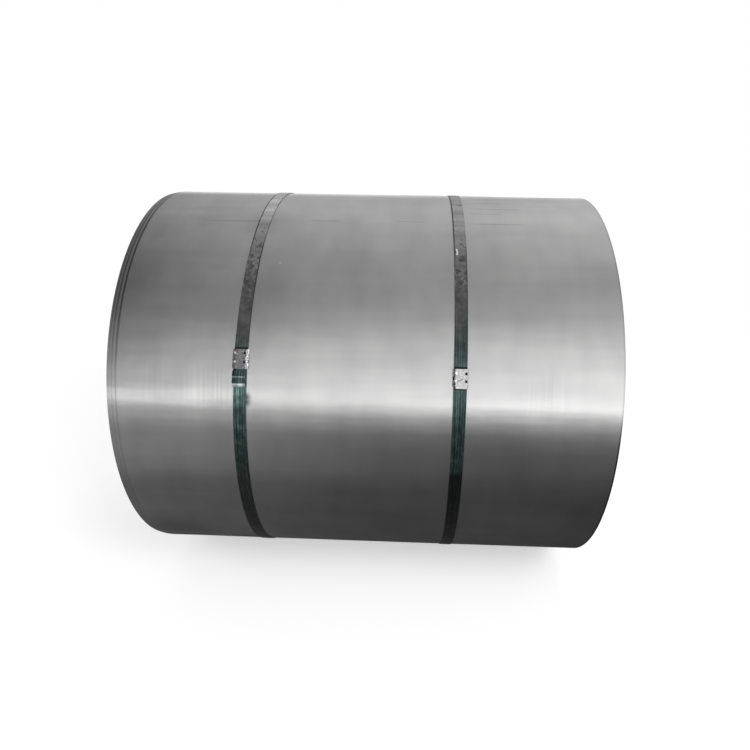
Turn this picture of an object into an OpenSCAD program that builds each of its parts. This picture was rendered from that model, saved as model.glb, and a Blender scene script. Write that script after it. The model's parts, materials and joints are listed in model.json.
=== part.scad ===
// Steel coil: wide strip wound on a bore, lying on its side, held by two painted
// steel straps with crimped seals. The coil axis is X, the sealed side is -Y.

/* [Strip] */
// Width of the steel strip
strip_width = 1219; // [600:1:1600]
// Thickness of the steel strip
strip_thickness = 2.5; // [1:0.1:6]
// Diameter of the bore
bore_diameter = 508; // [300:1:800]
// Diameter over the outermost turn
coil_diameter = 1110; // [700:1:1900]

/* [Ends] */
// Bands of turns that show as steps on each end
end_bands = 24; // [6:1:40]
// Largest sideways wander of one band
band_wander = 1.6; // [0:0.1:4]
// Sideways slip of the outermost turn
slip_first = 23.7; // [0:0.1:40]
// Sideways slip of the second turn
slip_second = 12.6; // [0:0.1:40]
// Sideways slip of the third turn
slip_third = 4.4; // [0:0.1:40]

/* [Straps] */
// Width of the strapping
strap_width = 32; // [16:0.5:50]
// Thickness of the strapping
strap_thickness = 0.9; // [0.5:0.05:1.5]
// Place of the left strap along the axis
strap_left_x = -292; // [-500:1:-50]
// Place of the right strap along the axis
strap_right_x = 234; // [50:1:500]
// Lean of the left strap in degrees
strap_left_lean = 1.3; // [0:0.1:3]
// Length of the free tail below the left seal
tail_length = 43; // [0:1:120]
// Sideways offset of the free tail
tail_offset = 3; // [0:0.5:6]

/* [Seals] */
// Length of a seal along the strap
seal_length = 47; // [30:1:80]
// Thickness of the seal plate
seal_plate = 1; // [0.6:0.1:1.6]
// Thickness of the rolled sides of a seal
seal_side = 2.6; // [1.5:0.1:4]
// Radius of the rolled shoulders
seal_round = 3; // [1:0.1:3.2]
// Thickness of the lips folded under the strap
seal_lip = 0.9; // [0.5:0.05:1.2]
// Reach of each lip under the strap
lip_reach = 8; // [3:0.5:12]
// Height of the left seal round the coil in degrees above level
seal_left_angle = 27; // [-60:0.1:90]
// Height of the right seal round the coil in degrees above level
seal_right_angle = 23.5; // [-60:0.1:90]
// Diameter of a crimp dent
dent_diameter = 5; // [2:0.1:8]
// Depth of a crimp dent
dent_depth = 0.6; // [0.2:0.1:0.8]
// Distance between the two rows of dents
dent_spacing = 20; // [10:0.5:40]
// Distance of the dents' middle from the seal's middle, measured down the strap
dent_shift = -3; // [-8:0.5:8]
// Distance of a dent from the edge of the strap
dent_inset = 4; // [2:0.5:10]

/* [Hidden] */
$fn = 180;

coil_r = coil_diameter / 2;
bore_r = bore_diameter / 2;

// Clearances: lips over the turns, strap over the turns, seal over the strap, seal beside it.
lip_gap = 0.1;
strap_play = 0.25;
plate_gap = 0.05;
edge_gap = 0.4;
// How far one layer of strapping sinks into the next where they are one piece.
layer_bite = 0.1;
// How far the doubled part of a strap stays inside the ends of its seal.
inside_seal = 3;

// A strap is a slightly larger ring set off towards its seal: the lips fit under it there,
// and the leaning strap clears the turns all round.
strap_lift = (seal_lip + lip_gap) / 2;
strap_r = coil_r + strap_lift + strap_play;
strap_top = strap_r + strap_thickness;
layer_top = strap_top + strap_thickness;
seal_low = strap_r - seal_lip;
seal_top = layer_top + plate_gap + seal_plate;
seal_width = strap_width + 2 * (edge_gap + seal_side);
// The left strap leans, so its lower edge sets the height of the axis.
axis_z = strap_top * cos(strap_left_lean) + strap_width / 2 * sin(strap_left_lean)
       - strap_lift * sin(seal_left_angle);

slips = [slip_third, slip_second, slip_first];
// Radius where the slipped outer turns begin, and the height of one band.
inner_r = coil_r - len(slips) * strip_thickness;
band_h = (inner_r - bore_r) / end_bands;

// Each entry is the inner radius, outer radius and sideways shift of one band.
bands = concat(
    [for (i = [0 : end_bands - 1])
        [bore_r + i * band_h, bore_r + (i + 1) * band_h,
         i == 0 ? 0 : band_wander * (0.6 * sin(i * 137.5) + 0.4 * sin(i * 61 + 40))]],
    [for (k = [0 : len(slips) - 1])
        [inner_r + k * strip_thickness, inner_r + (k + 1) * strip_thickness, slips[k]]]);
last = len(bands) - 1;
// The slipped turns reach further on one end, so the whole strip moves back by half of that.
middle = -slip_first / 2;

module along_axis(x, angle, lean)
    translate([0, 0, axis_z]) rotate([-(90 + angle), 0, 0]) rotate([0, 90, 0])
        translate([strap_lift, 0, x]) rotate([-lean, 0, 0]) children();

// Turn that takes a length along the strap to its place round the axis, measured downwards.
function turn(length) = length / strap_r * 180 / PI;

module arc(from, to)
    rotate([0, 0, turn(from)]) rotate_extrude(angle = turn(to - from)) children();

module layer(r0, r1, width, offset = 0)
    translate([r0, offset - width / 2]) square([r1 - r0, width]);

// One turn of strapping: single round the coil, double in the seal, and on one strap a
// free tail that lies on the turn below it.
module strap(x, angle, lean, tail, offset)
    color("darkslategray") along_axis(x, angle, lean) union() {
        rotate_extrude() layer(strap_r, strap_top, strap_width);
        arc(inside_seal - seal_length / 2, seal_length / 2 - inside_seal)
            layer(strap_top - layer_bite, layer_top, strap_width - 2 * layer_bite);
        if (tail > 0)
            arc(seal_length / 2 + edge_gap, seal_length / 2 + tail)
                layer(strap_top - layer_bite, layer_top, strap_width, -offset);
    }

// Rolled sheet: a plate over both layers, round shoulders and lips folded under the strap.
module seal_section()
    difference() {
        intersection() {
            layer(seal_low, seal_top, seal_width);
            union() {
                layer(seal_low, seal_top - seal_round, seal_width);
                layer(seal_low, seal_top, seal_width - 2 * seal_round);
                for (s = [-1, 1])
                    translate([seal_top - seal_round, s * (seal_width / 2 - seal_round)])
                        circle(r = seal_round);
            }
        }
        layer(strap_r - plate_gap, layer_top + plate_gap, strap_width + 2 * edge_gap);
        layer(seal_low - 1, strap_r, strap_width - 2 * lip_reach);
    }

module seal(x, angle, lean)
    color("lightgray") along_axis(x, angle, lean) difference() {
        arc(-seal_length / 2, seal_length / 2) seal_section();
        for (row = [-0.5, 0.5]) for (s = [-1, 1])
            rotate([0, 0, turn(row * dent_spacing + dent_shift)])
                translate([seal_top - dent_depth, 0, s * (strap_width / 2 - dent_inset)])
                    rotate([0, 90, 0]) cylinder(h = 2 * dent_depth, d = dent_diameter);
    }

module coil()
    color("silver") translate([0, 0, axis_z]) rotate([0, 90, 0]) rotate_extrude()
        polygon(concat(
            [for (b = bands) for (r = [b[0], b[1]])
                [r, middle - strip_width / 2 + b[2]]],
            [for (i = [last : -1 : 0]) for (r = [bands[i][1], bands[i][0]])
                [r, middle + strip_width / 2 + bands[i][2]]]));

module strap_left()
    strap(strap_left_x, seal_left_angle, strap_left_lean, tail_length, tail_offset);
module strap_right() strap(strap_right_x, seal_right_angle, 0, 0, 0);
module seal_left() seal(strap_left_x, seal_left_angle, strap_left_lean);
module seal_right() seal(strap_right_x, seal_right_angle, 0);

coil();
strap_left();
strap_right();
seal_left();
seal_right();
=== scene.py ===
import json
import math

import bmesh
import bpy
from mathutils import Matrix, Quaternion, Vector, noise


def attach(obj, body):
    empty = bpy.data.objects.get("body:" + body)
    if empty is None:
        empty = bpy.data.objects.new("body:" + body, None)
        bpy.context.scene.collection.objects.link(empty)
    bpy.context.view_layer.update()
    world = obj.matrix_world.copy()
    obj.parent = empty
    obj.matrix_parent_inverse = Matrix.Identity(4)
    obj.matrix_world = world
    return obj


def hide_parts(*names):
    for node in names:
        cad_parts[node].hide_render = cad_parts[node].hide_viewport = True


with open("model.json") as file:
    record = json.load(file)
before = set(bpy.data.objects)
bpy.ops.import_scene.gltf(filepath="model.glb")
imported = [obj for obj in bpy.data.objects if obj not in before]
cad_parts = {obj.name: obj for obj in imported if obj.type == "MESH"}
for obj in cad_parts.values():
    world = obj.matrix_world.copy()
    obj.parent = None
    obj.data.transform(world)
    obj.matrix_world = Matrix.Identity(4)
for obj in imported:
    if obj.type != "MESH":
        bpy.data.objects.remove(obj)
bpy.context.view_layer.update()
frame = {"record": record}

# The coil is one long strip of rolled steel with a satin face, wound tight on a mandrel.
# The rolls leave fine lines along the strip, so round the coil. Its edges are slit, each
# turn lies a little off the next, and the three outer turns have slipped to one side.
bore = frame["record"]["mounts"][0]
AXIS_HEIGHT = bore["pos_m"][2]
BORE_RADIUS = bore["dims"]["r_mm"] / 1000
STRIP_WIDTH = bore["dims"]["length_mm"] / 1000
STRIP_MIDDLE = bore["pos_m"][0]
COIL_RADIUS = 0.555
COIL_STEPS = 180
TURNS = 120
TURNS_IN_BAND = 5
BAND_WANDER = 0.0012
TURN_WANDER = 0.00035
OUTER_SLIPS = (0.0054, 0.0131, 0.0237)
OUTER_TURN = 0.0016
EDGE_CROWN = 0.0004
EDGE_ROLL = 0.0007
# Painted shade, partly grime: dark lines along the steps of the slipped outer turns and round the outer
# rim.
STEP_SHADE_REACH = 0.0042
RIM_SHADE_WIDTH = 0.0025
SHADE_HEIGHTS_LEFT = (0.76, 0.93)
SHADE_HEIGHTS_RIGHT = (0.7, 0.62)
SHADE_LEAST = 0.2
FACE_STEPS = 32
FACE_WAVE = 0.0012
FACE_WAVES = 4
END_DIRECTION = math.radians(-50)
END_STEP = 0.0018
END_RUN = math.radians(70)
END_GAP = 0.0015

inner_turns = TURNS - len(OUTER_SLIPS)
outer_from = COIL_RADIUS - len(OUTER_SLIPS) * OUTER_TURN
turn_pitch = (outer_from - BORE_RADIUS) / inner_turns


def turn_slip(turn):
    """Sideways place of one turn, counted from the bore."""
    outer = turn - inner_turns
    if outer >= 0:
        return OUTER_SLIPS[outer]
    band = turn // TURNS_IN_BAND
    if band == 0:
        return 0.0
    wander = 0.6 * math.sin(math.radians(band * 137.5)) + 0.4 * math.sin(math.radians(band * 61 + 40))
    return BAND_WANDER * wander + TURN_WANDER * math.sin(turn * 2.4)


def edge_outline(side):
    """Radius, place along the axis and painted shade, partly grime, of the slit edges, from the bore
    outwards.
    """
    edge = STRIP_MIDDLE + side * STRIP_WIDTH / 2
    outline = []
    for turn in range(TURNS):
        x = edge + turn_slip(turn)
        if turn < inner_turns:
            low = BORE_RADIUS + turn * turn_pitch
            outline += [(low + 0.04 * turn_pitch, x - side * EDGE_CROWN, 0.0),
                        (low + 0.5 * turn_pitch, x, 0.0)]
        else:
            low = outer_from + (turn - inner_turns) * OUTER_TURN
            overhang = side * (x - last_x)
            if overhang > 0:
                outline += [(low, last_x, 1.0), (low, x - side * EDGE_ROLL, 0.0),
                            (low + EDGE_ROLL, x, 0.0)]
            else:
                shade_end = x + side * min(STEP_SHADE_REACH, -0.5 * overhang)
                outline += [(low - EDGE_ROLL, last_x, 0.9), (low, last_x - side * EDGE_ROLL, 0.7),
                            (low, shade_end, 0.1), (low, x, 1.0)]
        last_x = x
    rim = [(COIL_RADIUS - EDGE_ROLL, x, 0.9), (COIL_RADIUS, x - side * EDGE_ROLL, 0.9)]
    if side > 0:
        rim.append((COIL_RADIUS, x - RIM_SHADE_WIDTH, 0.9))
    return outline + rim + [(COIL_RADIUS, x - side * 2 * RIM_SHADE_WIDTH, 0.0)]


def angle_round(place):
    """Turn round the axis from the strip's free end, the way it is wound."""
    return (math.atan2(place.z - AXIS_HEIGHT, place.y) - END_DIRECTION + 1e-6) % (2 * math.pi)


def step_shade_share(place):
    """Share of the painted shade, partly grime, kept on an edge: most high up at the left end, low down at
    the right.
    """
    least, most = SHADE_HEIGHTS_RIGHT if place.x > 0 else SHADE_HEIGHTS_LEFT
    share = min(1.0, max(0.0, (place.z - least) / (most - least)))
    return SHADE_LEAST + (1 - SHADE_LEAST) * share


def finish_mesh(mesh, name, sharp):
    """Smooth faces with sharp edges, as a new object at the origin."""
    for face in mesh.faces:
        face.smooth = True
    for edge in mesh.edges:
        edge.smooth = len(edge.link_faces) == 2 and edge.calc_face_angle() < sharp
    data = bpy.data.meshes.new(name)
    mesh.to_mesh(data)
    mesh.free()
    made = bpy.data.objects.new(name, data)
    bpy.context.scene.collection.objects.link(made)
    return made


coil_mesh = bmesh.new()
shade_and_grime_at = coil_mesh.verts.layers.float.new("shade_and_grime")
round_map = coil_mesh.loops.layers.uv.new("round_map")
left_edge, right_edge = edge_outline(-1), edge_outline(1)
face_from, face_to = left_edge[-1][1], right_edge[-1][1]
rolled_face = [
    (COIL_RADIUS, face_from + (face_to - face_from) * step / FACE_STEPS, 0.0)
    for step in range(1, FACE_STEPS)
]
profile = []
for r, x, shade_and_grime in left_edge + rolled_face + right_edge[::-1]:
    y, z = r * math.cos(END_DIRECTION), r * math.sin(END_DIRECTION)
    vert = coil_mesh.verts.new((x, y, AXIS_HEIGHT + z))
    vert[shade_and_grime_at] = shade_and_grime
    profile.append(vert)
profile_edges = [coil_mesh.edges.new(pair) for pair in zip(profile, profile[1:] + profile[:1])]
bmesh.ops.spin(coil_mesh, geom=profile + profile_edges, cent=(0, 0, AXIS_HEIGHT), axis=(1, 0, 0),
               angle=2 * math.pi, steps=COIL_STEPS, use_merge=True)
bmesh.ops.remove_doubles(coil_mesh, verts=coil_mesh.verts, dist=1e-6)
bmesh.ops.recalc_face_normals(coil_mesh, faces=coil_mesh.faces)

# The outer face swells a little, and steps down to the turn below at the strip's free end.
for vert in coil_mesh.verts:
    # Keeps the edges' painted shade, partly grime, high up at the left end and low down at the right.
    vert[shade_and_grime_at] *= step_shade_share(vert.co)
    r = math.hypot(vert.co.y, vert.co.z - AXIS_HEIGHT)
    if r < COIL_RADIUS - 1e-4:
        continue
    turn = angle_round(vert.co)
    near_end = max((turn - 2 * math.pi + END_RUN) / END_RUN, 0)
    swell = noise.noise(Vector((vert.co.x, math.cos(turn), math.sin(turn))) * FACE_WAVES)
    r -= END_STEP * near_end * near_end * (3 - 2 * near_end) + FACE_WAVE * (0.5 + 0.5 * swell)
    if turn > 2 * math.pi * (1 - 1.5 / COIL_STEPS):
        turn = 2 * math.pi - END_GAP
    vert.co.y = r * math.cos(END_DIRECTION + turn)
    vert.co.z = AXIS_HEIGHT + r * math.sin(END_DIRECTION + turn)
for face in coil_mesh.faces:
    on_end = abs(face.normal.x) > 0.6
    face.material_index = int(on_end)
    turns = [angle_round(loop.vert.co) for loop in face.loops]
    wraps = max(turns) - min(turns) > math.pi
    for loop, turn in zip(face.loops, turns):
        place = loop.vert.co
        if wraps and turn < math.pi:
            turn += 2 * math.pi
        across = math.hypot(place.y, place.z - AXIS_HEIGHT) if on_end else place.x
        loop[round_map].uv = (across, turn * COIL_RADIUS)
coil = finish_mesh(coil_mesh, "wound_strip", math.radians(32))


def feed(tree, node, inputs):
    """Sets a node's inputs; each is a value, or the socket that feeds it."""
    for name, value in inputs.items():
        if isinstance(value, bpy.types.NodeSocket):
            tree.links.new(value, node.inputs[name])
        else:
            node.inputs[name].default_value = value
    return node


def add(tree, kind, inputs, **settings):
    node = tree.nodes.new("ShaderNode" + kind)
    for name, value in settings.items():
        setattr(node, name, value)
    return feed(tree, node, inputs)


def calc(tree, operation, *values, **settings):
    """The result of one sum."""
    return add(tree, "Math", dict(enumerate(values)), operation=operation, **settings).outputs[0]


def span(tree, value, low, high, to_low=0.0, to_high=1.0, soft=False):
    """A value taken from one range to another and held at its ends."""
    node = add(tree, "MapRange", {"Value": value, "From Min": low, "From Max": high,
                                  "To Min": to_low, "To Max": to_high})
    node.interpolation_type = "SMOOTHSTEP" if soft else "LINEAR"
    return node.outputs["Result"]


def blend(tree, factor, a, b, data_type="RGBA", blend_type="MIX"):
    node = add(tree, "Mix", {"Factor": factor, "A": a, "B": b}, data_type=data_type, blend_type=blend_type)
    return node.outputs["Result"]


def ramp(tree, factor, stops):
    """A colour ramp through (position, colour or grey) stops."""
    node = add(tree, "ValToRGB", {"Fac": factor})
    elements = node.color_ramp.elements
    elements.remove(elements[1])
    for number, (position, colour) in enumerate(stops):
        stop = elements[0] if number == 0 else elements.new(position)
        stop.position = position
        stop.color = (*colour, 1) if isinstance(colour, tuple) else (colour, colour, colour, 1)
    return node.outputs["Color"]


def new_material(name):
    material = bpy.data.materials.new(name)
    material.use_nodes = True
    return material, material.node_tree, material.node_tree.nodes["Principled BSDF"]


def new_group(name, inputs, output):
    """A shader node group with one output; inputs are name: (kind, default)."""
    group = bpy.data.node_groups.new(name, "ShaderNodeTree")
    for label, (kind, default) in inputs.items():
        socket = group.interface.new_socket(label, in_out="INPUT", socket_type="NodeSocket" + kind)
        if default is not None:
            socket.default_value = default
    group.interface.new_socket(output, in_out="OUTPUT", socket_type="NodeSocketFloat")
    given = group.nodes.new("NodeGroupInput").outputs
    return group, given, group.nodes.new("NodeGroupOutput").inputs[output]


def use_group(tree, group, inputs):
    node = tree.nodes.new("ShaderNodeGroup")
    node.node_tree = group
    return feed(tree, node, inputs).outputs[0]


# Lines that run along a rolled strip: long in V and fine across it in U.
rolling_lines, given, result = new_group(
    "rolling_lines",
    {"Place": ("Vector", None), "Lines per metre": ("Float", 200.0), "Run": ("Float", 1.0),
     "Detail": ("Float", 4.0)},
    "Mask")
u, v, _ = add(rolling_lines, "SeparateXYZ", {"Vector": given["Place"]}).outputs
drawn = add(rolling_lines, "CombineXYZ", {
    "X": calc(rolling_lines, "MULTIPLY", u, given["Lines per metre"]),
    "Y": calc(rolling_lines, "MULTIPLY", v, given["Run"])})
grain = add(rolling_lines, "TexNoise", {
    "Vector": drawn.outputs[0], "Scale": 1.0, "Detail": given["Detail"], "Roughness": 0.6})
rolling_lines.links.new(grain.outputs["Fac"], result)

# A crease across the strip, from U to U at one place round the coil.
crease, given, result = new_group(
    "crease",
    {"Place": ("Vector", None), "From": ("Float", 0.0), "To": ("Float", 0.1), "Round": ("Float", 0.0)},
    "Mask")
u, v, _ = add(crease, "SeparateXYZ", {"Vector": given["Place"]}).outputs
middle = calc(crease, "MULTIPLY", calc(crease, "ADD", given["From"], given["To"]), 0.5)
reach = calc(crease, "SUBTRACT", given["To"], middle)
aside = calc(crease, "DIVIDE", calc(crease, "SUBTRACT", u, middle), reach)
within = span(crease, calc(crease, "ABSOLUTE", aside), 1.0, 0.6)
above = calc(crease, "ABSOLUTE", calc(crease, "SUBTRACT", v, given["Round"]))
thin = span(crease, above, 0.004, 0.0, soft=True)
crease.links.new(calc(crease, "MULTIPLY", within, thin), result)

# A soft spot round a point of the piece.
spot_mark, given, result = new_group(
    "spot", {"Place": ("Vector", None), "Centre": ("Vector", None), "Radius": ("Float", 0.01)}, "Mask")
away = add(spot_mark, "VectorMath", {0: given["Place"], 1: given["Centre"]}, operation="DISTANCE")
mask = span(spot_mark, away.outputs["Value"], given["Radius"], 0.0, soft=True)
spot_mark.links.new(mask, result)


def spots(tree, place, marks):
    """The strongest of some soft spots, each a centre, a radius and a strength."""
    strongest = 0.0
    for centre, radius, strength in marks:
        mark = use_group(tree, spot_mark, {"Place": place, "Centre": centre, "Radius": radius})
        strongest = calc(tree, "MAXIMUM", strongest, calc(tree, "MULTIPLY", mark, strength))
    return strongest


# Creases as (from, to, degrees up from the front), also painted darker as shade; painted highlight streaks
# as (share of width, strength) at the bright band's height;
# and dark spots as (centre, radius, strength): painted shade beside the left strap and low down at the
# left end, the rest darker patches.
CREASES = ((-0.46, -0.25, 69.5), (-0.17, -0.07, 70.2), (0.06, 0.155, 70.6), (0.255, 0.45, 84.3),
           (0.255, 0.42, 79.2), (0.255, 0.36, 75.8), (0.255, 0.43, 70.0))
GLINT_STREAK_ZONES = (
    (0.085, 0.0), (0.1, 0.7), (0.13, 0.7), (0.15, 0.2), (0.17, 0.3), (0.19, 1.0), (0.25, 1.0),
    (0.27, 0.0), (0.79, 0.0), (0.815, 0.6), (0.87, 0.6), (0.89, 0.0))
GLINT_STREAK_HEIGHT = 0.745
GLINT_STREAK_REACH = (0.075, 0.01)
GLINT_STREAK_SHADES = (-0.03, 0.07)
STAINS_AND_SHADE = (
    ((-0.2795, -0.5295, 0.723), 0.019, 0.9), ((-0.2795, -0.5325, 0.713), 0.019, 0.9),
    ((-0.579, -0.367, 0.973), 0.12, 0.2), ((-0.275, -0.197, 1.076), 0.1, 0.15),
    ((-0.53, -0.393, 0.165), 0.125, 0.9), ((-0.35, -0.393, 0.165), 0.115, 0.6),
    ((-0.53, -0.451, 0.233), 0.18, 0.5), ((-0.235, -0.37, 0.97), 0.12, 0.12),
    ((0.3, -0.4, 0.94), 0.12, 0.09))
NICK = ((-0.219, -0.332, 1.002), 0.005, 1.0)
NICK_WHITE = (0.9, 0.9, 0.9, 1)
SHADE_AND_GRIME_BLACK = (0.03, 0.03, 0.03, 1)
STEEL_SHADES = ((0.38, (0.535, 0.535, 0.535)), (0.62, (0.645, 0.643, 0.64)))
STEEL_ROUGHNESS = (0.245, 0.355)
SLIT_SHADES = ((0.3, (0.3, 0.3, 0.295)), (0.7, (0.6, 0.6, 0.585)))
SLIT_ROUGHNESS = (0.58, 0.42)

rolled, tree, steel = new_material("rolled_steel")
place = add(tree, "UVMap", {}, uv_map="round_map").outputs["UV"]
spot = add(tree, "TexCoord", {}).outputs["Object"]
patches = use_group(tree, rolling_lines, {
    "Place": place, "Lines per metre": 13.0, "Run": 5.0, "Detail": 1.5})
chatter = use_group(tree, rolling_lines, {
    "Place": place, "Lines per metre": 2.0, "Run": 18.0, "Detail": 2.0})
clouds = add(tree, "TexNoise", {"Vector": spot, "Scale": 7.0, "Detail": 3.0}).outputs["Fac"]
soft = blend(tree, 0.5, clouds, patches, data_type="FLOAT")
soft = blend(tree, 0.28, soft, chatter, data_type="FLOAT")
shade = ramp(tree, soft, STEEL_SHADES)

# Painted highlight: fine lines along the strip, lighter and darker, kept to the height of the bright band.
fine = use_group(tree, rolling_lines, {
    "Place": place, "Lines per metre": 250.0, "Run": 1.2, "Detail": 0.0})
width_share = span(tree, add(tree, "SeparateXYZ", {"Vector": place}).outputs["X"], -0.65, 0.65)
height = add(tree, "SeparateXYZ", {"Vector": spot}).outputs["Z"]
above = calc(tree, "ABSOLUTE", calc(tree, "SUBTRACT", height, GLINT_STREAK_HEIGHT))
glint_streaks = span(tree, fine, 0.3, 0.7, *GLINT_STREAK_SHADES)
for share in (ramp(tree, width_share, GLINT_STREAK_ZONES), span(tree, above, *GLINT_STREAK_REACH, soft=True)):
    glint_streaks = calc(tree, "MULTIPLY", glint_streaks, share)
glint_streaks = calc(tree, "ADD", glint_streaks, 1.0)
rubbed_and_lit = add(tree, "VectorMath", {0: shade, 1: glint_streaks}, operation="MULTIPLY").outputs[0]

folds = 0.0
for start, stop, degrees in CREASES:
    turn = math.pi - math.radians(degrees) - END_DIRECTION
    line = use_group(tree, crease, {
        "Place": place, "From": start, "To": stop, "Round": turn * COIL_RADIUS})
    folds = calc(tree, "MAXIMUM", folds, line)
# Painted shade: the edge lines, the spots beside the left strap and low down at the left end, and the
# creases a quarter darker. The other spots are darker patches.
shade_and_grime = add(tree, "Attribute", {}, attribute_name="shade_and_grime").outputs["Fac"]
dirt_and_shade = calc(tree, "MAXIMUM", shade_and_grime, spots(tree, spot, STAINS_AND_SHADE))
dirt_and_shade = calc(tree, "MULTIPLY_ADD", folds, 0.25, dirt_and_shade, use_clamp=True)
stained_and_shaded = blend(tree, dirt_and_shade, rubbed_and_lit, SHADE_AND_GRIME_BLACK)
nicked = blend(tree, spots(tree, spot, [NICK]), stained_and_shaded, NICK_WHITE)
waved = add(tree, "Bump", {"Height": soft, "Strength": 1.0, "Distance": 0.0016}).outputs["Normal"]
raised = add(tree, "Bump", {"Height": folds, "Strength": 0.1, "Distance": 0.0004, "Normal": waved})
lengthwise = add(tree, "Tangent", {}, direction_type="UV_MAP", uv_map="round_map")
feed(tree, steel, {
    "Base Color": nicked, "Roughness": span(tree, width_share, 0.05, 0.95, *STEEL_ROUGHNESS),
    "Metallic": 1.0, "Anisotropic": 0.8, "Normal": raised.outputs["Normal"],
    "Tangent": lengthwise.outputs["Tangent"]})

slit, tree, steel = new_material("slit_edges")
spot = add(tree, "TexCoord", {}).outputs["Object"]
place = add(tree, "UVMap", {}, uv_map="round_map").outputs["UV"]
turns = use_group(tree, rolling_lines, {"Place": place, "Lines per metre": 190.0, "Run": 2.5})
patches = add(tree, "TexNoise", {"Vector": spot, "Scale": 9.0, "Detail": 5.0}).outputs["Fac"]
uneven = blend(tree, 0.35, turns, patches, data_type="FLOAT")
# Painted shade, partly grime: the slit edges go black along the steps between turns.
shade_and_grime = add(tree, "Attribute", {}, attribute_name="shade_and_grime").outputs["Fac"]
feed(tree, steel, {
    "Base Color": blend(tree, shade_and_grime, ramp(tree, uneven, SLIT_SHADES), SHADE_AND_GRIME_BLACK),
    "Roughness": span(tree, uneven, 0.0, 1.0, *SLIT_ROUGHNESS), "Metallic": 1.0})

coil.data.materials.append(rolled)
coil.data.materials.append(slit)
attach(coil, "root")
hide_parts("coil")

# Two straps of painted steel band hold the turns. Each goes once round the coil, its ends
# lap inside the seal, and the left one leans a little and leaves a free tail below its seal.
STRAP_WIDTH = 0.032
STRAP_THICKNESS = 0.0009
STRAP_CROWN = 0.0003
STRAP_ACROSS = 8
STRAP_STEPS = 240
STRAP_REST = 0.0002
STRAP_LAP = 0.021
SEAL_LENGTH = 0.047
LIP_ROOM = 0.001
LIFT_RUN = 0.11
SEAL_TURN = {"left": math.radians(27.0), "right": math.radians(23.5)}
STRAP_PLACE = {"left": -0.292, "right": 0.234}
STRAP_LEAN = {"left": 0.0126, "right": 0.0}
# The tail's run from the seal in metres, and how far it stands off in millimetres.
TAIL_BENDS = (
    (0.0, 0.1), (0.003, 0.1), (0.006, 0.1), (0.015, 0.15), (0.018, 0.35), (0.0193, 0.55),
    (0.0206, 0.3), (0.025, 0.1), (0.0345, 0.6), (0.0365, 0.9), (0.038, 0.85), (0.043, -0.4))
TAIL_SHIFT = -0.0032
TAIL_CURVE = 0.005
CREASE_RUN, CREASE_HALF = 0.0193, 0.0018
BENT_END, BENT_EDGE = 0.037, 0.003
MOUTH_ABOVE, MOUTH_ABOVE_HALF = 0.0022, 0.003
MOUTH_BELOW, MOUTH_BELOW_HALF = 0.001, 0.0026

strap_girth = 2 * math.pi * COIL_RADIUS


def on_coil(side, run, height, across):
    """A point of a strap: its run down from the seal's middle, height and place across."""
    turn = SEAL_TURN[side] - run / COIL_RADIUS
    lean = STRAP_LEAN[side] * math.sin(turn - SEAL_TURN[side])
    r = COIL_RADIUS + height
    y, z = -r * math.cos(turn), r * math.sin(turn)
    return Vector((STRAP_PLACE[side] + lean + across, y, AXIS_HEIGHT + z))


def strap_lift(run):
    """Height of the band's underside: it rises over the seal's lips, then over its own end."""
    past = run - strap_girth
    if past < -strap_girth / 2:
        near, rise = abs(run), LIP_ROOM
    else:
        near, rise = max(-past, 0.0), LIP_ROOM + STRAP_THICKNESS
    near = max(0.0, 1 - near / LIFT_RUN)
    return STRAP_REST + rise * near * near * (3 - 2 * near)


def build_strap(side):
    mesh = bmesh.new()
    band_map = mesh.loops.layers.uv.new("band_map")
    run_at = mesh.verts.layers.float.new("run")
    height_at = mesh.verts.layers.float.new("height")
    across_at = mesh.verts.layers.float.new("across")
    half = STRAP_WIDTH / 2
    outline = [(0.0, half - 0.0002), (0.0, -half + 0.0002)]
    for step in range(STRAP_ACROSS + 1):
        u = -half + STRAP_WIDTH * step / STRAP_ACROSS
        outline.append((STRAP_THICKNESS - STRAP_CROWN * (u / half) ** 2, u))
    full = strap_girth + 2 * STRAP_LAP
    stations = [(-STRAP_LAP + full * step / STRAP_STEPS, 0.0, 0.0) for step in range(STRAP_STEPS + 1)]
    if side == "left":
        out_of_seal = strap_girth + SEAL_LENGTH / 2
        stations += [(out_of_seal + run, bend / 1000, TAIL_SHIFT * (1 - math.exp(-run / TAIL_CURVE)))
                     for run, bend in TAIL_BENDS]
    rim = []
    for height, across in outline:
        vert = mesh.verts.new()
        vert[height_at], vert[across_at] = height, across
        rim.append(vert)
    edges = [mesh.edges.new(pair) for pair in zip(rim, rim[1:] + rim[:1])]
    bmesh.ops.edgeloop_fill(mesh, edges=edges)
    for number, (run, bend, shift) in enumerate(stations):
        if number:
            grown = bmesh.ops.extrude_edge_only(mesh, edges=edges)["geom"]
            rim = [part for part in grown if isinstance(part, bmesh.types.BMVert)]
            edges = [part for part in grown if isinstance(part, bmesh.types.BMEdge)
                     and part.verts[0] in rim and part.verts[1] in rim]
        lift = strap_lift(run) + bend
        for vert in rim:
            vert[run_at] = run
            vert.co = on_coil(side, run, vert[height_at] + lift, vert[across_at] + shift)
    bmesh.ops.edgeloop_fill(mesh, edges=edges)
    bmesh.ops.recalc_face_normals(mesh, faces=mesh.faces)
    for face in mesh.faces:
        for loop in face.loops:
            loop[band_map].uv = (loop.vert[across_at], loop.vert[run_at])
    return finish_mesh(mesh, "strap_" + side + "_band", math.radians(40))


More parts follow.
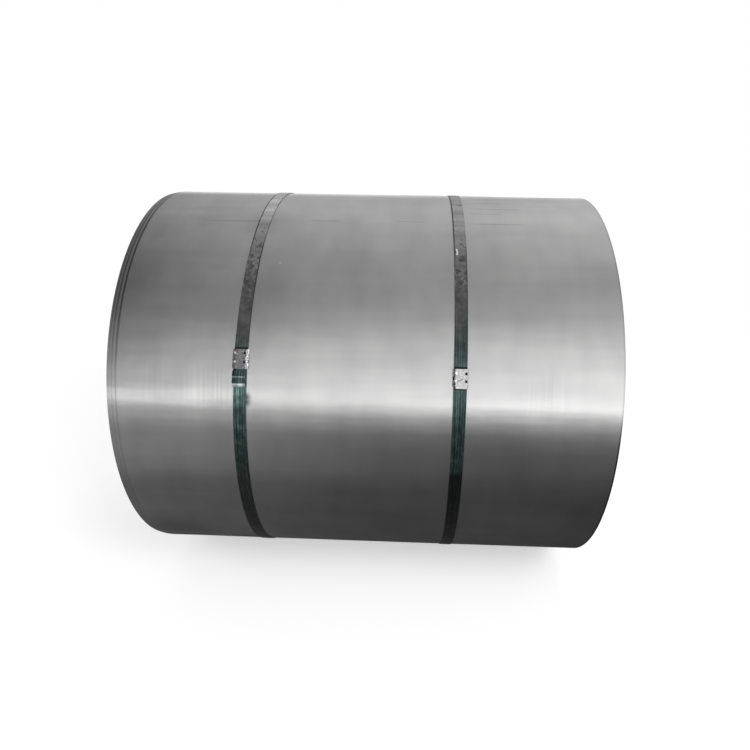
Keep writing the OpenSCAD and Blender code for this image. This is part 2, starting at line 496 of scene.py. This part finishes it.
# Marks in patches, from handling: more of them as the amount rises.
scuffs, given, result = new_group(
    "scuffs", {"Place": ("Vector", None), "Scale": ("Float", 60.0), "Amount": ("Float", 0.4)}, "Mask")
cloud = add(scuffs, "TexNoise", {
    "Vector": given["Place"], "Scale": given["Scale"], "Detail": 6.0, "Roughness": 0.7})
level = calc(scuffs, "SUBTRACT", 1.0, given["Amount"])
over = calc(scuffs, "SUBTRACT", cloud.outputs["Fac"], level)
scuffs.links.new(calc(scuffs, "MULTIPLY", over, 6.0, use_clamp=True), result)

# A cross line on a strap, at one run and with soft sides.
cross_line, given, result = new_group(
    "cross_line", {"Run": ("Float", 0.0), "At": ("Float", 0.0), "Half": ("Float", 0.002)}, "Mask")
away = calc(cross_line, "ABSOLUTE", calc(cross_line, "SUBTRACT", given["Run"], given["At"]))
share = calc(cross_line, "DIVIDE", away, given["Half"])
cross_line.links.new(span(cross_line, share, 1.0, 0.6, soft=True), result)

# Green lacquer, then its tones by height as (height, colour) from the floor up, and
# bands of painted sheen across the strap as (run, half, strength).
LACQUER = ((0.4, (0.014, 0.03, 0.029)), (0.5, (0.04, 0.068, 0.066)), (0.61, (0.12, 0.18, 0.175)))
HEIGHT_TONES = {
    "left": ((0.30, (1.35, 0.95, 0.95)), (0.50, (1.45, 1.0, 1.0)), (0.56, (1.1, 1.0, 1.0)),
             (0.66, (1.0, 1.0, 1.0)), (0.8, (1.0, 1.0, 1.0)), (0.86, (0.75, 0.68, 0.68))),
    "right": ((0.30, (1.2, 0.8, 0.8)), (0.53, (0.6, 0.44, 0.44)), (0.545, (1.1, 1.05, 1.05)),
              (0.66, (1.0, 1.0, 1.0)), (0.8, (1.0, 1.0, 1.0)), (0.86, (0.6, 0.55, 0.55))),
}
LOW_FROM = (0.55, 0.49)
SCUFF_GREY = (0.06, 0.055, 0.055, 1)
SHEEN_BANDS = {"left": ((0.075, 0.014, 0.16), (0.088, 0.036, 0.27), (0.166, 0.0075, 0.25)), "right": ()}
SHEEN_GAIN = (3.2, 3.0, 3.0, 1)
BARE_METAL_GLINT = (0.8, 0.88, 0.87, 1)
# Grime and dust above the seals, as (height, colour) too, and painted shadow along the edges as
# (inside, outside) across the strap with (height, strength).
FILM_FROM = {"left": (0.8, 0.89), "right": (0.8, 0.95)}
SOOT = ((0.38, (0.028, 0.027, 0.027)), (0.64, (0.062, 0.061, 0.061)))
DUST_TONES = {
    "left": ((0.95, (0.1, 0.098, 0.099)), (1.03, (0.13, 0.128, 0.129)), (1.07, 0.17), (1.1, 0.32)),
    "right": ((0.95, (0.09, 0.088, 0.089)), (1.03, (0.115, 0.113, 0.114)), (1.07, 0.18), (1.1, 0.185)),
}
DUST_BARS = ((0.4, 0.78), (0.6, 1.1))
EDGE_SHADOW = (
    ((-0.0122, -0.0142), ((0.98, 0.0), (1.05, 1.0))),
    ((0.0136, 0.0149), ((0.84, 0.0), (0.92, 1.0), (1.03, 1.0), (1.06, 0.1))),
)
# Single marks: painted shadow at the dark corner of the tail on the left, a pit, a ring and a chip on the
# right.
TAIL_TOP = 0.003
BLACK_SPOTS = {
    "left": [(on_coil("left", SEAL_LENGTH / 2 + below, TAIL_TOP, aside), radius, 1.0)
             for below, aside, radius in (
                 (0.0108, -0.0163, 0.0085), (0.0065, -0.0155, 0.006), (0.003, -0.0125, 0.006))],
    "right": [((0.243, -0.084, 1.106), 0.009, 1.0)],
}
RING = ((0.2365, -0.313, 1.017), 0.011, 1.0)
RING_SHADES = ((0.0, 0.0), (0.3, 0.55), (0.6, 0.2), (1.0, 0.5))
CHIP = (
    ((0.2255, -0.288, 1.032), 0.0042, 1.0), ((0.2265, -0.294, 1.0285), 0.0042, 1.0),
    ((0.2262, -0.300, 1.025), 0.0046, 1.0))
CHIP_WHITE = (0.75, 0.75, 0.73, 1)
MARK_BLACK = (0.006, 0.007, 0.007, 1)


def ramp_over(tree, value, stops):
    """A ramp whose positions are in the value's own unit."""
    low, high = stops[0][0], stops[-1][0]
    share = span(tree, value, low, high)
    return ramp(tree, share, [((at - low) / (high - low), colour) for at, colour in stops])


def strap_paint(side):
    material, tree, coat = new_material("strap_paint_" + side)
    place = add(tree, "UVMap", {}, uv_map="band_map").outputs["UV"]
    across, run, _ = add(tree, "SeparateXYZ", {"Vector": place}).outputs
    spot = add(tree, "TexCoord", {}).outputs["Object"]
    height = add(tree, "SeparateXYZ", {"Vector": spot}).outputs["Z"]

    # Green lacquer, streaked along the strap, its tone set by height, less streaked and scuffed low down.
    streaks = use_group(tree, rolling_lines, {"Place": place, "Lines per metre": 330.0, "Run": 4.0})
    smears = use_group(tree, rolling_lines, {"Place": place, "Lines per metre": 60.0, "Run": 45.0})
    mixed = blend(tree, 0.3, streaks, smears, data_type="FLOAT")
    low = span(tree, height, *LOW_FROM, 0.0, 0.6)
    lacquer = ramp(tree, blend(tree, low, mixed, 0.5, data_type="FLOAT"), LACQUER)
    height_tone = ramp_over(tree, height, HEIGHT_TONES[side])
    toned = blend(tree, 1.0, lacquer, height_tone, blend_type="MULTIPLY")
    scuff = use_group(tree, scuffs, {"Place": place, "Scale": 55.0, "Amount": 0.45})
    toned = blend(tree, calc(tree, "MULTIPLY", scuff, low), toned, SCUFF_GREY)
    # Painted sheen: lighter bands across the left strap below its tail.
    for at, half, strength in SHEEN_BANDS[side]:
        sheen = use_group(tree, cross_line, {"Run": run, "At": at, "Half": half})
        sheen = calc(tree, "MULTIPLY", sheen, strength)
        toned = blend(tree, sheen, toned, SHEEN_GAIN, blend_type="MULTIPLY")

    # Painted glints, partly bare metal, where the tail is bent; painted shade in the gaps at the seal's
    # mouths.
    out_of_seal = strap_girth + SEAL_LENGTH / 2
    bend = use_group(tree, cross_line, {
        "Run": run, "At": out_of_seal + CREASE_RUN, "Half": CREASE_HALF})
    tip = span(tree, run, out_of_seal + BENT_END - BENT_EDGE, out_of_seal + BENT_END)
    bare_glint = calc(tree, "MAXIMUM", calc(tree, "MULTIPLY", bend, 0.3), tip)
    patchy = use_group(tree, rolling_lines, {"Place": place, "Lines per metre": 110.0, "Run": 4.0})
    bare_glint = calc(tree, "MULTIPLY", bare_glint, span(tree, patchy, 0.36, 0.54, 0.3))
    glinted = blend(tree, bare_glint, toned, BARE_METAL_GLINT)
    # Painted shade: black bands on the strap at the seal's mouths.
    over_mouth = use_group(tree, cross_line, {
        "Run": run, "At": strap_girth - SEAL_LENGTH / 2 - MOUTH_ABOVE, "Half": MOUTH_ABOVE_HALF})
    under_mouth = use_group(tree, cross_line, {
        "Run": run, "At": SEAL_LENGTH / 2 + MOUTH_BELOW, "Half": MOUTH_BELOW_HALF})
    shade_and_marks = calc(tree, "MAXIMUM", over_mouth, under_mouth)

    # A film of grime above the seals, and on it dust, broken into blotches lower down.
    film = span(tree, height, *FILM_FROM[side], soft=True)
    filmed = blend(tree, film, glinted, ramp(tree, smears, SOOT))
    blots = add(tree, "TexNoise", {"Vector": place, "Scale": 75.0, "Detail": 4.0, "Roughness": 0.6})
    cover = span(tree, height, 0.85, 1.1, 0.2, 0.72)
    lying = calc(tree, "SUBTRACT", cover, blots.outputs["Fac"])
    dust = span(tree, lying, -0.04, 0.05)
    bars = use_group(tree, rolling_lines, {
        "Place": place, "Lines per metre": 3.0, "Run": 28.0, "Detail": 2.0})
    laid = blend(tree, 1.0, ramp_over(tree, height, DUST_TONES[side]), ramp(tree, bars, DUST_BARS),
                 blend_type="MULTIPLY")
    dusty = blend(tree, dust, filmed, laid)

    # Painted shadow along the edges near the top, and the single marks.
    for (inside, outside), levels in EDGE_SHADOW:
        rim = span(tree, across, inside, outside)
        rim = calc(tree, "MULTIPLY", rim, ramp_over(tree, height, levels))
        shade_and_marks = calc(tree, "MAXIMUM", shade_and_marks, rim)
    shade_and_marks = calc(tree, "MAXIMUM", shade_and_marks, spots(tree, spot, BLACK_SPOTS[side]))
    if side == "right":
        ring = ramp(tree, spots(tree, spot, [RING]), RING_SHADES)
        shade_and_marks = calc(tree, "MAXIMUM", shade_and_marks, ring)
    finish = blend(tree, shade_and_marks, dusty, MARK_BLACK)
    if side == "right":
        finish = blend(tree, spots(tree, spot, CHIP), finish, CHIP_WHITE)

    covered = calc(tree, "MAXIMUM", film, dust)
    raised = add(tree, "Bump", {"Height": mixed, "Strength": 0.15, "Distance": 0.0004})
    feed(tree, coat, {
        "Base Color": finish, "Roughness": span(tree, covered, 0.0, 1.0, 0.26, 0.5),
        "Metallic": span(tree, covered, 0.0, 1.0, 0.85, 0.0), "Normal": raised.outputs["Normal"]})
    return material


for side in ("left", "right"):
    strap = build_strap(side)
    strap.data.materials.append(strap_paint(side))
    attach(strap, "root")
    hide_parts("strap_" + side)

# Each seal is a piece of galvanised sheet folded round the two lapped ends of its strap,
# its lips under them, and crimped shut with two rows of dents. Neither sits quite straight.
SEAL_SHEET = 0.0009
SEAL_TOP = 0.0043
SEAL_FOOT = 0.0002
SEAL_ROUND = 0.0006
PLATE_HALF = 0.0128
PLATE_SHIFT = {"left": -0.0021, "right": 0.0022}
SEAL_HALF = {"left": 0.0203, "right": 0.0188}
SHOULDER_BEND = 1.8
SHOULDER_EDGE = 0.003
LIP_REACH = 0.008
SEAL_ROWS = 56
SEAL_COLUMNS = 72
DENT_ROWS = {"left": (-0.0140, 0.0077), "right": (-0.0126, 0.0058)}
DENT_ACROSS = 0.0117
DENT_RADIUS = 0.0029
DENT_TILT = 0.24
ROUND_DENT_TILT = 0.16
# Painted light on the seals as levels: one is a painted highlight on partly rubbed zinc, nought is a
# painted black shade, and a half is neither.
DENT_GLINT_AND_SHADE = (1.0, 0.0)
SHOULDER_GLINT_AND_SHADE = {"left": (0.35, 0.72), "right": (0.1, 0.65)}
WRINKLE = 0.0004
WRINKLES_PER_METRE = 150
FOLD = {"left": 0.0, "right": 0.001}
FOLD_AT, FOLD_SLOPE = 0.003, 0.42
FOLD_HALF, FOLD_REACH = 0.0009, 0.011
CORNER = {"left": 0.001, "right": 0.0035}
RUBBED_ZINC_GLINT = (0.95, 0.95, 0.94, 1)
DENT_SHADE_BLACK = (0.015, 0.015, 0.015, 1)


def seal_fold(side, part):
    """Place across and height on the folded sheet, part running from one lip to the other."""
    half = SEAL_HALF[side]
    lip = LIP_REACH / (LIP_REACH + half)
    if abs(part) > 1 - lip:
        inwards = (abs(part) - 1 + lip) / lip
        height = SEAL_FOOT + SEAL_ROUND * max(0.0, 1 - 8 * inwards)
        return math.copysign(half - LIP_REACH * inwards, part), height
    across = half * part / (1 - lip)
    plate = PLATE_HALF + math.copysign(PLATE_SHIFT[side], across)
    slope = max(0.0, (abs(across) - plate) / (half - plate))
    return across, SEAL_TOP - (SEAL_TOP - SEAL_FOOT - SEAL_ROUND) * slope ** SHOULDER_BEND


def crimp(side, across, run):
    """Depth and painted light of the dents: square ones on one side painted black as shade in the hollow,
    round ones opposite painted bright as a highlight on partly rubbed zinc.
    """
    for row in DENT_ROWS[side]:
        for column, glint_shade_wear in zip((-1, 1), DENT_GLINT_AND_SHADE):
            aside = (across - PLATE_SHIFT[side] - column * DENT_ACROSS) / DENT_RADIUS
            along = (run - row) / DENT_RADIUS
            if glint_shade_wear < 0.5 and max(abs(aside), abs(along)) < 1:
                return DENT_RADIUS * DENT_TILT * (along + 1.2), glint_shade_wear
            if glint_shade_wear > 0.5 and math.hypot(aside, along) < 1.2:
                return DENT_RADIUS * ROUND_DENT_TILT * (along + 1.3), glint_shade_wear
    return 0.0, 0.5


def build_seal(side, seed):
    mesh = bmesh.new()
    glint_shade_wear_at = mesh.verts.layers.float.new("glint_shade_wear")
    bmesh.ops.create_grid(mesh, x_segments=SEAL_COLUMNS, y_segments=SEAL_ROWS, size=1.0)
    for vert in mesh.verts:
        across, height = seal_fold(side, vert.co.x)
        run = vert.co.y * SEAL_LENGTH / 2
        vert[glint_shade_wear_at] = 0.5
        if across < 0:
            pulled = max(0.0, run / SEAL_LENGTH * 2 - 0.75) * 4
            across += CORNER[side] * pulled * across / -SEAL_HALF[side]
        if height > SEAL_FOOT + 0.001:
            spot = Vector((across * WRINKLES_PER_METRE, run * WRINKLES_PER_METRE, seed))
            rough, fine = noise.noise(spot), noise.noise(spot * 2.3)
            outside = abs(across - PLATE_SHIFT[side]) - PLATE_HALF
            shoulder = min(1.0, max(0.0, outside / SHOULDER_EDGE))
            # Painted shade on the left shoulder and a painted highlight on the right one, broken up by the
            # noise.
            rubbed_and_lit = SHOULDER_GLINT_AND_SHADE[side][int(across > 0)]
            depth, glint_shade_wear = crimp(side, across, run)
            vert[glint_shade_wear_at] = glint_shade_wear + (rubbed_and_lit - 0.5) * shoulder * (1 + 1.2 * rough + 2.5 * fine)
            diagonal = (run - FOLD_AT + FOLD_SLOPE * across) / FOLD_HALF
            height += WRINKLE * rough + 0.5 * WRINKLE * fine - depth
            ridge = math.exp(-diagonal * diagonal) * math.exp(-(across / FOLD_REACH) ** 4)
            height += FOLD[side] * ridge
        vert.co = on_coil(side, run, height, across)
    bmesh.ops.recalc_face_normals(mesh, faces=mesh.faces)
    top = max(mesh.faces, key=lambda face: -face.calc_center_median().y)
    if top.normal.y > 0:
        bmesh.ops.reverse_faces(mesh, faces=mesh.faces)
    bmesh.ops.solidify(mesh, geom=mesh.faces, thickness=SEAL_SHEET)
    return finish_mesh(mesh, "seal_" + side + "_clip", math.radians(50))


def zinc(name, dark, light, rough):
    """Mottled zinc with painted black shade in one row of dents and on the shaded shoulder, and a painted
    highlight, partly rubbed zinc, on the other dents and the lit shoulder.
    """
    material, tree, metal = new_material(name)
    spot = add(tree, "TexCoord", {}).outputs["Object"]
    marks = use_group(tree, scuffs, {"Place": spot, "Scale": 260.0, "Amount": 0.5})
    glint_shade_wear = add(tree, "Attribute", {}, attribute_name="glint_shade_wear").outputs["Fac"]
    rubbed_and_lit = span(tree, glint_shade_wear, 0.5, 1.0)
    shaded_part = span(tree, glint_shade_wear, 0.5, 0.0)
    bright = blend(tree, rubbed_and_lit, blend(tree, marks, dark, light), RUBBED_ZINC_GLINT)
    raised = add(tree, "Bump", {"Height": marks, "Strength": 0.25, "Distance": 0.0005})
    feed(tree, metal, {
        "Base Color": blend(tree, shaded_part, bright, DENT_SHADE_BLACK),
        "Roughness": span(tree, rubbed_and_lit, 0.0, 1.0, rough, 0.2), "Metallic": 1.0,
        "Normal": raised.outputs["Normal"]})
    return material


zinc_finish = {
    "left": zinc("zinc_dull", (0.22, 0.21, 0.22, 1), (0.5, 0.49, 0.5, 1), 0.4),
    "right": zinc("zinc_bright", (0.52, 0.53, 0.52, 1), (0.9, 0.9, 0.89, 1), 0.34),
}
for side, seed in (("left", 3.7), ("right", 8.2)):
    seal = build_seal(side, seed)
    seal.data.materials.append(zinc_finish[side])
    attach(seal, "root")
    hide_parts("seal_" + side)

# The floor is a plain pale sheet that runs out into a white glow. It takes the coil's
# shadow, and shows near white to the camera and in reflections.
FLOOR_HALF = 40.0
FLOOR_GREY = 0.55
GLOW_NEAR, GLOW_FAR = 0.5, 1.0
GLOW_FROM, GLOW_TO = 1.3, 3.6


def seen_rays(tree):
    """One for camera, mirror and see-through rays, nought for the rest."""
    path = add(tree, "LightPath", {}).outputs
    total = calc(tree, "ADD", path["Is Camera Ray"], path["Is Glossy Ray"])
    return calc(tree, "ADD", total, path["Is Transmission Ray"], use_clamp=True)


floor_mesh = bmesh.new()
bmesh.ops.create_grid(floor_mesh, x_segments=2, y_segments=2, size=FLOOR_HALF)
floor = finish_mesh(floor_mesh, "floor", math.radians(30))
pale, tree, sheet = new_material("pale_floor")
spot = add(tree, "TexCoord", {}).outputs["Object"]
away = add(tree, "VectorMath", {0: spot}, operation="LENGTH").outputs["Value"]
far = span(tree, away, GLOW_FROM, GLOW_TO, soft=True)
glow = span(tree, far, 0.0, 1.0, GLOW_NEAR, GLOW_FAR)
feed(tree, sheet, {
    "Base Color": ramp(tree, far, ((0.0, FLOOR_GREY), (1.0, 0.0))), "Roughness": 0.9,
    "Specular IOR Level": 0.0, "Emission Color": (1, 1, 1, 1),
    "Emission Strength": calc(tree, "MULTIPLY", glow, seen_rays(tree))})
floor.data.materials.append(pale)

# Studio flags, seen only in the coil's reflection: a graded one arched over it from front to
# back, a long light card low in front with a grey skirt under it, and a dark one on the floor.
FLAG_RADIUS = 7.0
FLAG_HALF = 14.0
FLAG_FROM, FLAG_TO = math.radians(9), math.radians(171)
FLAG_STEPS = 60
# Greys of the arch as (share of the half turn from front to back, grey), then the level of a flag
# as (place from left to right, level).
FLAG_TONES_LEFT = (
    (0.05, 1.2), (0.10, 1.14), (0.16, 0.87), (0.23, 0.6), (0.30, 0.425), (0.37, 0.405),
    (0.45, 0.43), (0.56, 0.495), (0.66, 0.54), (0.75, 0.62), (0.82, 0.6), (0.95, 0.5))
FLAG_TONES_RIGHT = (
    (0.05, 1.0), (0.10, 1.0), (0.16, 0.85), (0.23, 0.69), (0.30, 0.475), (0.37, 0.4),
    (0.45, 0.37), (0.56, 0.45), (0.66, 0.49), (0.75, 0.57), (0.82, 0.52), (0.95, 0.4))
FLAG_SIDES = (
    (-5, 0.15), (-4, 0.33), (-3.3, 0.69), (-2.4, 0.84), (-0.8, 1.06), (0.4, 1.17), (1.4, 1.12),
    (2.3, 1.56), (5, 1.6))
FLOOR_REACH = 26.0
FLOOR_FLAG_LIFT = 0.0006
FLOOR_TONES = (
    (0.3, 0.055), (0.55, 0.07), (0.9, 0.074), (1.2, 0.118), (1.8, 0.137), (2.4, 0.131),
    (3.4, 0.148), (6.5, 0.28), (20, 0.5))
FLOOR_SIDES = (
    (-3, 2.4), (-1.2, 2.3), (-0.85, 2.15), (-0.6, 1.77), (0, 1.06), (0.5, 1.02), (0.75, 0.81),
    (1.0, 0.79), (1.5, 1.2), (2.1, 2.05), (3, 2.9))
# The card as (place, lowest and highest degrees, level), the skirt as (place, highest degrees).
CARD_RADIUS = 6.8
CARD = (
    (-6, 1.8, 9.2, 0.9), (-4, 2.0, 9.5, 1.0), (-3.3, 2.3, 10.0, 1.25), (-2.8, 2.6, 10.3, 1.35),
    (-2.25, 1.6, 8.9, 1.95), (-1.7, 6.2, 10.6, 1.25), (-1.35, 3.8, 10.7, 1.7), (-1.05, 2.1, 7.0, 1.95),
    (-0.7, -2.2, 3.0, 1.75), (-0.1, -0.4, 4.5, 1.75), (0.5, 5.8, 7.8, 2.3), (1.25, 5.0, 7.8, 3.0),
    (1.85, 3.8, 8.2, 2.65), (2.45, 2.1, 8.0, 3.2), (6, -0.6, 7.0, 3.0))
SKIRT_RADIUS = 6.9
SKIRT_LOW = -4.5
SKIRT = (
    (-6, 2.0), (-2.8, 2.8), (-2.25, 1.8), (-1.7, 6.4), (-1.35, 3.6), (-1.05, 0.5), (-0.8, -4.0),
    (0.15, -4.0), (0.45, 4.8), (0.75, 4.6), (1.25, 3.2), (1.8, 1.8), (2.3, -2.0), (6, -4.0))
SKIRT_GREY = 0.4


def show_in_reflections(thing, name, tone, level):
    """Gives a flag its glow and hides it from everything but mirror rays."""
    material = bpy.data.materials.new(name)
    material.use_nodes = True
    tree = material.node_tree
    tree.nodes.clear()
    spot = add(tree, "SeparateXYZ", {"Vector": add(tree, "TexCoord", {}).outputs["Object"]}).outputs
    shine = add(tree, "Emission", {"Color": tone(tree, spot), "Strength": level(tree, spot)})
    add(tree, "OutputMaterial", {"Surface": shine.outputs[0]})
    thing.data.materials.append(material)
    thing.visible_camera = False
    thing.visible_diffuse = False
    thing.visible_transmission = False
    thing.visible_volume_scatter = False
    thing.visible_shadow = False


def upright(name, radius, edges):
    """A strip of a wide cylinder round the coil axis; edges are place, degrees low and high."""
    mesh = bmesh.new()
    bmesh.ops.create_grid(mesh, x_segments=len(edges) - 1, y_segments=1, size=1.0)
    for vert in mesh.verts:
        x, low, high = edges[round((vert.co.x + 1) / 2 * (len(edges) - 1))]
        turn = math.radians(high if vert.co.y > 0 else low)
        vert.co = (x, -radius * math.cos(turn), AXIS_HEIGHT + radius * math.sin(turn))
    return finish_mesh(mesh, name, math.radians(30))


def white(tree, spot):
    return (1, 1, 1, 1)


def arch_tone(tree, spot):
    up = calc(tree, "SUBTRACT", spot["Z"], AXIS_HEIGHT)
    front = calc(tree, "MULTIPLY", spot["Y"], -1.0)
    share = calc(tree, "DIVIDE", calc(tree, "ARCTAN2", up, front), math.pi)
    aside = span(tree, spot["X"], -2.5, 0.5)
    return blend(tree, aside, ramp(tree, share, FLAG_TONES_LEFT), ramp(tree, share, FLAG_TONES_RIGHT))


def floor_tone(tree, spot):
    share = calc(tree, "DIVIDE", calc(tree, "ABSOLUTE", spot["Y"]), FLOOR_REACH)
    return ramp(tree, share, [(at / FLOOR_REACH, grey) for at, grey in FLOOR_TONES])


def sideways(levels):
    """A level that changes from the left to the right, given as (place, level)."""
    def build(tree, spot):
        most = max(level for _, level in levels)
        shape = ramp_over(tree, spot["X"], [(at, level / most) for at, level in levels])
        return calc(tree, "MULTIPLY", shape, most)
    return build


arch_mesh = bmesh.new()
y, z = -FLAG_RADIUS * math.cos(FLAG_FROM), AXIS_HEIGHT + FLAG_RADIUS * math.sin(FLAG_FROM)
ends = [arch_mesh.verts.new((x, y, z)) for x in (-FLAG_HALF, FLAG_HALF)]
bmesh.ops.spin(arch_mesh, geom=ends + [arch_mesh.edges.new(ends)], cent=(0, 0, AXIS_HEIGHT),
               axis=(1, 0, 0), angle=FLAG_FROM - FLAG_TO, steps=FLAG_STEPS)
arch = finish_mesh(arch_mesh, "graded_flag", math.radians(30))
show_in_reflections(arch, "graded_flag", arch_tone, sideways(FLAG_SIDES))
card = upright("light_card", CARD_RADIUS, [(x, low, high) for x, low, high, _ in CARD])
show_in_reflections(card, "light_card", white, sideways([(x, level) for x, _, _, level in CARD]))
skirt = upright("grey_skirt", SKIRT_RADIUS, [(x, SKIRT_LOW, high) for x, high in SKIRT])
show_in_reflections(skirt, "grey_skirt", white, lambda tree, spot: SKIRT_GREY)
dark_mesh = bmesh.new()
bmesh.ops.create_grid(dark_mesh, x_segments=2, y_segments=2, size=FLOOR_REACH)
bmesh.ops.translate(dark_mesh, verts=dark_mesh.verts, vec=(0, 0, FLOOR_FLAG_LIFT))
dark = finish_mesh(dark_mesh, "floor_flag", math.radians(30))
show_in_reflections(dark, "floor_flag", floor_tone, sideways(FLOOR_SIDES))

# Soft studio lamps in a white room light the floor and the paint; the flags stand in for
# them in the metal. Each lamp is (name, place, size, power) and points at the coil.
LAMPS = (
    ("key_lamp", (2.6, -2.8, 3.6), 2.4, 150), ("fill_lamp", (-3.2, -2.2, 2.4), 2.4, 60),
    ("back_lamp", (0.5, 3.4, 3.2), 3.0, 90))
LAMP_AIM = Vector((0, 0, 0.5))
ROOM_LIGHT, ROOM_SEEN = 0.45, 1.0

for name, spot, size, power in LAMPS:
    lamp = bpy.data.objects.new(name, bpy.data.lights.new(name, "AREA"))
    lamp.data.size = size
    lamp.data.energy = power
    lamp.location = spot
    lamp.rotation_mode = "QUATERNION"
    lamp.rotation_quaternion = (LAMP_AIM - Vector(spot)).to_track_quat("-Z", "Y")
    lamp.visible_glossy = False
    bpy.context.scene.collection.objects.link(lamp)

room = bpy.data.worlds.new("white_room")
room.use_nodes = True
tree = room.node_tree
tree.nodes.clear()
level = span(tree, seen_rays(tree), 0.0, 1.0, ROOM_LIGHT, ROOM_SEEN)
shine = add(tree, "Background", {"Color": (1, 1, 1, 1), "Strength": level})
add(tree, "OutputWorld", {"Surface": shine.outputs[0]})
bpy.context.scene.world = room

# The camera stands where the photographer stood, a little above the coil and close to it,
# and is tipped by less than a degree. The shift only frames the picture as the photo is cut.
CAMERA_PLACE = (0.1094, -1.7339, 1.4023)
CAMERA_LOOKS = Vector((-0.02988, 0.91027, -0.41293))
CAMERA_ROLL = math.radians(0.671)

camera = bpy.data.objects.new("camera", bpy.data.cameras.new("camera"))
camera.data.sensor_width = 36
camera.data.lens = 27.71
camera.data.shift_x, camera.data.shift_y = -0.0217, -0.0323
camera.data.clip_end = 200
camera.location = CAMERA_PLACE
camera.rotation_mode = "QUATERNION"
camera.rotation_quaternion = CAMERA_LOOKS.to_track_quat("-Z", "Y") @ Quaternion((0, 0, 1), CAMERA_ROLL)
bpy.context.scene.collection.objects.link(camera)
bpy.context.scene.camera = camera
bpy.context.scene.view_settings.view_transform = "Standard"
